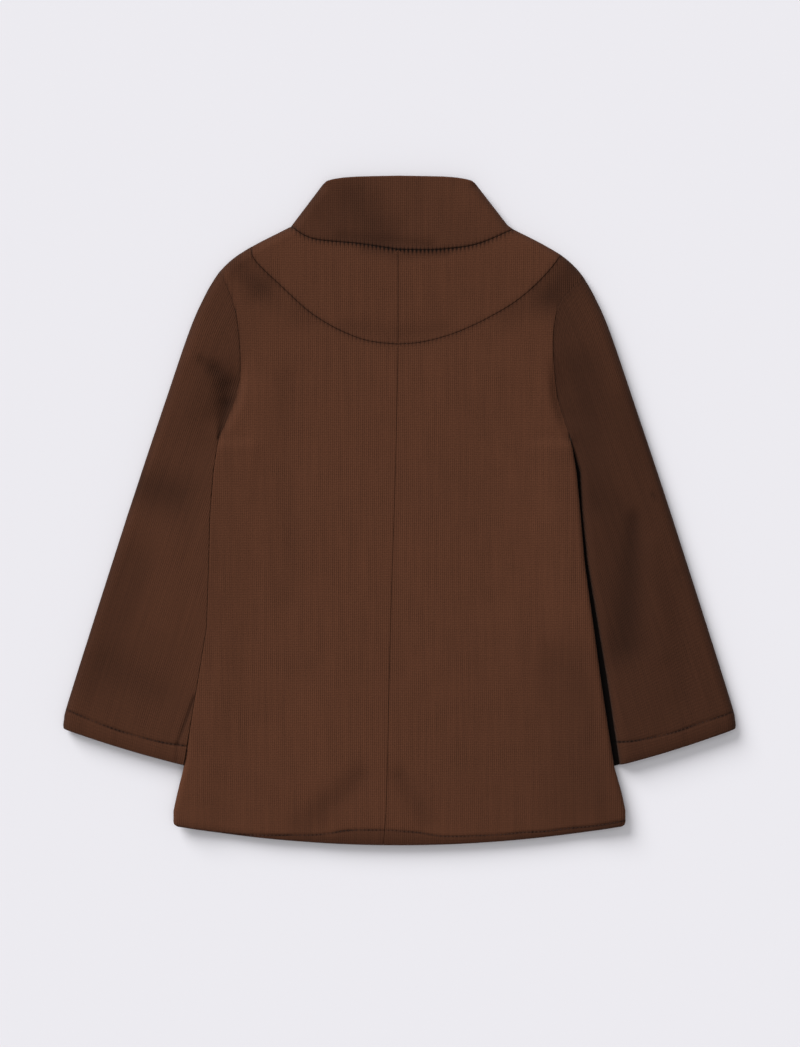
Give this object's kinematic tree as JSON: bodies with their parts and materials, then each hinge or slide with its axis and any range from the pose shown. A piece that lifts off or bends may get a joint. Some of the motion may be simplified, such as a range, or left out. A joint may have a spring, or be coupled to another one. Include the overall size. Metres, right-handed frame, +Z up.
{
  "type": "short coat",
  "caption": "Child's short A-line coat with a stand collar, laid flat on its front with the back up; neck, cuffs and hem are open.",
  "frame": {"origin": "on the surface the coat lies on, under the middle of its outline", "axes": "+Z up from the surface, +Y towards the collar, +X towards the wearer's right sleeve; the back of the coat faces up"},
  "size_m": [0.5204, 0.5176, 0.013],
  "materials": {
    "jersey": "matt fine rib"
  },
  "bodies": {
    "root": {"back_left": "jersey", "back_right": "jersey", "yoke_left": "jersey", "yoke_right": "jersey", "front_left": "jersey", "front_right": "jersey", "sleeve_left": "jersey", "sleeve_right": "jersey", "collar": "jersey"}
  },
  "joints": []
}
